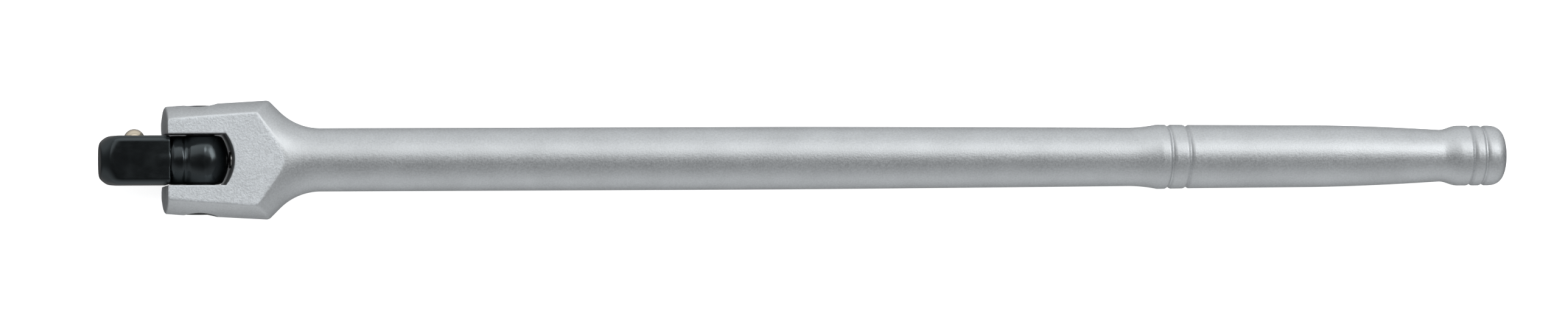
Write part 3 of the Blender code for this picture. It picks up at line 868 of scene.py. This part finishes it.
def pale_room():
    """World of a room with pale walls on both sides of the bar, a darker ceiling and dark
    ends: its grey is the product of one ramp over the height of the direction looked in,
    from down at 0 to up at 1, and one over its side, from -Y at 0 to +Y at 1."""
    world = bpy.data.worlds.new("pale_room")
    world.use_nodes = True
    tree = world.node_tree
    way = add_node(tree, "ShaderNodeTexCoord").outputs["Generated"]
    parts = add_node(tree, "ShaderNodeSeparateXYZ", {"Vector": way})
    heights = {0.0: "#A0A0A0", 0.25: "#D8D8D8", 0.5: "#F6F6F6", 0.85: "#D0D0D0", 1.0: "#A0A0A0"}
    sides = {0.0: "#EAEBEC", 0.3: "#C0C1C2", 0.45: "#7A7B7C"}
    sides |= {0.55: "#7A7B7C", 0.7: "#D0D1D2", 1.0: "#FBFCFD"}
    both = []
    for axis, greys in (("Z", heights), ("Y", sides)):
        share = add_node(tree, "ShaderNodeMapRange", {"Value": parts.outputs[axis]}, From_Min=-1.0)
        ramp = add_node(tree, "ShaderNodeValToRGB", {"Fac": share.outputs["Result"]})
        stops = ramp.color_ramp.elements
        for place, grey in greys.items():
            stop = stops[0] if place == 0.0 else stops[-1] if place == 1.0 else stops.new(place)
            stop.color = linear(grey)
        both.append(ramp.outputs["Color"])
    grey = add_node(
        tree, "ShaderNodeMix", {"A": both[0], "B": both[1]},
        data_type="RGBA", blend_type="MULTIPLY", Factor=1.0,
    )
    tree.links.new(grey.outputs["Result"], tree.nodes["Background"].inputs["Color"])
    tree.nodes["Background"].inputs["Strength"].default_value = 1.3
    return world


class BREAKER_OT_studio(bpy.types.Operator):
    """Lay the floor and set the lights and the camera"""

    bl_idname = "breaker.studio"
    bl_label = "Studio"

    def execute(self, context):
        scene = context.scene
        settings = scene.breaker_studio
        floor = bpy.data.meshes.new("studio_floor")
        half = 3.0
        corners = [(-half, -half), (half, -half), (half, half), (-half, half)]
        white = linear("#FAFAFA")
        floor.from_pydata([(x, y, BAR_LOW.z) for x, y in corners], [], [(0, 1, 2, 3)])
        paper, tree, shader = start_material("White paper")
        shader.inputs["Base Color"].default_value = white
        shader.inputs["Roughness"].default_value = 0.9
        shader.inputs["Specular IOR Level"].default_value = 0.0
        shader.inputs["Emission Color"].default_value = white
        shader.inputs["Emission Strength"].default_value = 0.8
        floor.materials.append(paper)
        ground = bpy.data.objects.new("studio_floor", floor)
        context.collection.objects.link(ground)
        ground.visible_glossy = False
        area_light("key_box", (0.75, 0.71, 1.09), (0.75, 0.0, 0.0), (3.3, 1.2), 10.8)
        area_light("grip_box", (0.98, 0.42, 1.05), (0.33, 0.0, 0.0), (0.7, 0.5), 3.7)
        scene.world = pale_room()
        scene.view_settings.view_transform = "Standard"
        self.place_camera(scene, settings)
        return {"FINISHED"}

    def place_camera(self, scene, settings):
        """Camera over the bar, leaning towards the grip and rolled about the bar."""
        data = bpy.data.cameras.new("camera")
        data.lens = settings.lens
        data.clip_start = 0.05
        camera = bpy.data.objects.new("camera", data)
        back = Vector((-math.sin(settings.yaw), 0.0, math.cos(settings.yaw)))
        back = Matrix.Rotation(settings.roll, 3, "X") @ back
        along = Vector((1.0, 0.0, 0.0))
        right = (along - along.dot(back) * back).normalized()
        up = back.cross(right)
        turn = Matrix((right, up, back)).transposed() @ Matrix.Rotation(-settings.tilt, 3, "Z")
        target = Vector((settings.target, 0.0, 0.0)) - up * settings.drop
        camera.matrix_world = Matrix.Translation(target + back * settings.distance) @ turn.to_4x4()
        bpy.context.collection.objects.link(camera)
        scene.camera = camera


# Panel and registration -----------------------------------------------------------


class BREAKER_PT_panel(bpy.types.Panel):
    """List the breaker bar's pieces"""

    bl_idname = "BREAKER_PT_panel"
    bl_label = "Breaker Bar"
    bl_space_type = "VIEW_3D"
    bl_region_type = "UI"
    bl_category = "Breaker Bar"

    def draw(self, context):
        for operator in OPERATORS:
            self.layout.operator(operator.bl_idname)


OPERATORS = (
    BREAKER_OT_bar,
    BREAKER_OT_head,
    BREAKER_OT_pin,
    BREAKER_OT_detent,
    BREAKER_OT_friction,
    BREAKER_OT_studio,
)
GROUPS = {
    "breaker_bar": BarSizes,
    "breaker_head": HeadSizes,
    "breaker_finish": FinishColours,
    "breaker_studio": StudioSettings,
}


def register():
    """Register the sizes, operators and panel."""
    for name, group in GROUPS.items():
        bpy.utils.register_class(group)
        setattr(bpy.types.Scene, name, PointerProperty(type=group))
    for item in (*OPERATORS, BREAKER_PT_panel):
        bpy.utils.register_class(item)


def unregister():
    """Undo register."""
    for item in (BREAKER_PT_panel, *reversed(OPERATORS)):
        bpy.utils.unregister_class(item)
    for name, group in GROUPS.items():
        delattr(bpy.types.Scene, name)
        bpy.utils.unregister_class(group)


def main():
    """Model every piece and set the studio."""
    register()
    bpy.ops.breaker.bar()
    bpy.ops.breaker.head()
    bpy.ops.breaker.pin()
    bpy.ops.breaker.detent()
    bpy.ops.breaker.friction()
    bpy.ops.breaker.studio()


if __name__ == "__main__":
    main()
